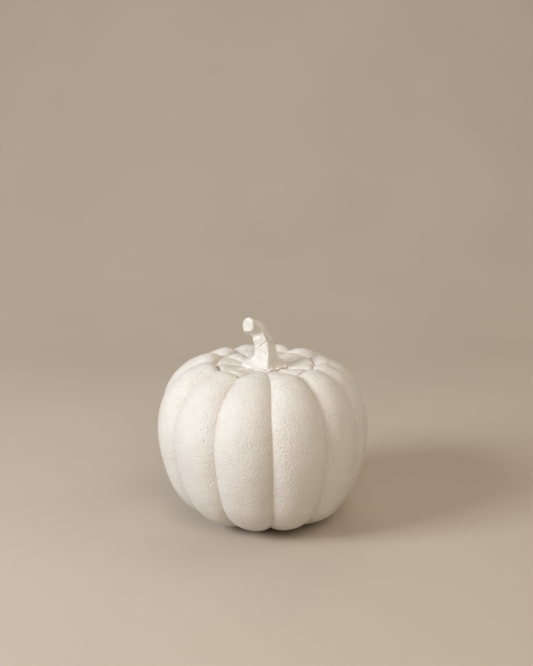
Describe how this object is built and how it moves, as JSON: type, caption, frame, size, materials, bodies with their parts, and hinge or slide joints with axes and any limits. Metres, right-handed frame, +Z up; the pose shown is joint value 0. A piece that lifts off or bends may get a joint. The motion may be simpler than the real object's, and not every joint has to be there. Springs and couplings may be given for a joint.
{
  "type": "ornamental gourd",
  "caption": "Small ribbed white ornamental gourd with a creased, lobed crown and a short bent stem with a cut end; it stands on the flattened undersides of its ribs.",
  "frame": {"origin": "on the surface the gourd stands on, under the middle of its outline", "axes": "+Z up from the base to the stem; -Y is the side seen in the picture; the stem bends towards -X"},
  "size_m": [0.1086, 0.1092, 0.1102],
  "materials": {
    "fruit": "matt warm white rind with a fine pored, wrinkled grain and a slight sheen",
    "stem": "matt warm white, dry and woody, faceted, with small cracks and pits"
  },
  "bodies": {
    "root": {"fruit": "fruit", "stem": "stem"}
  },
  "joints": []
}
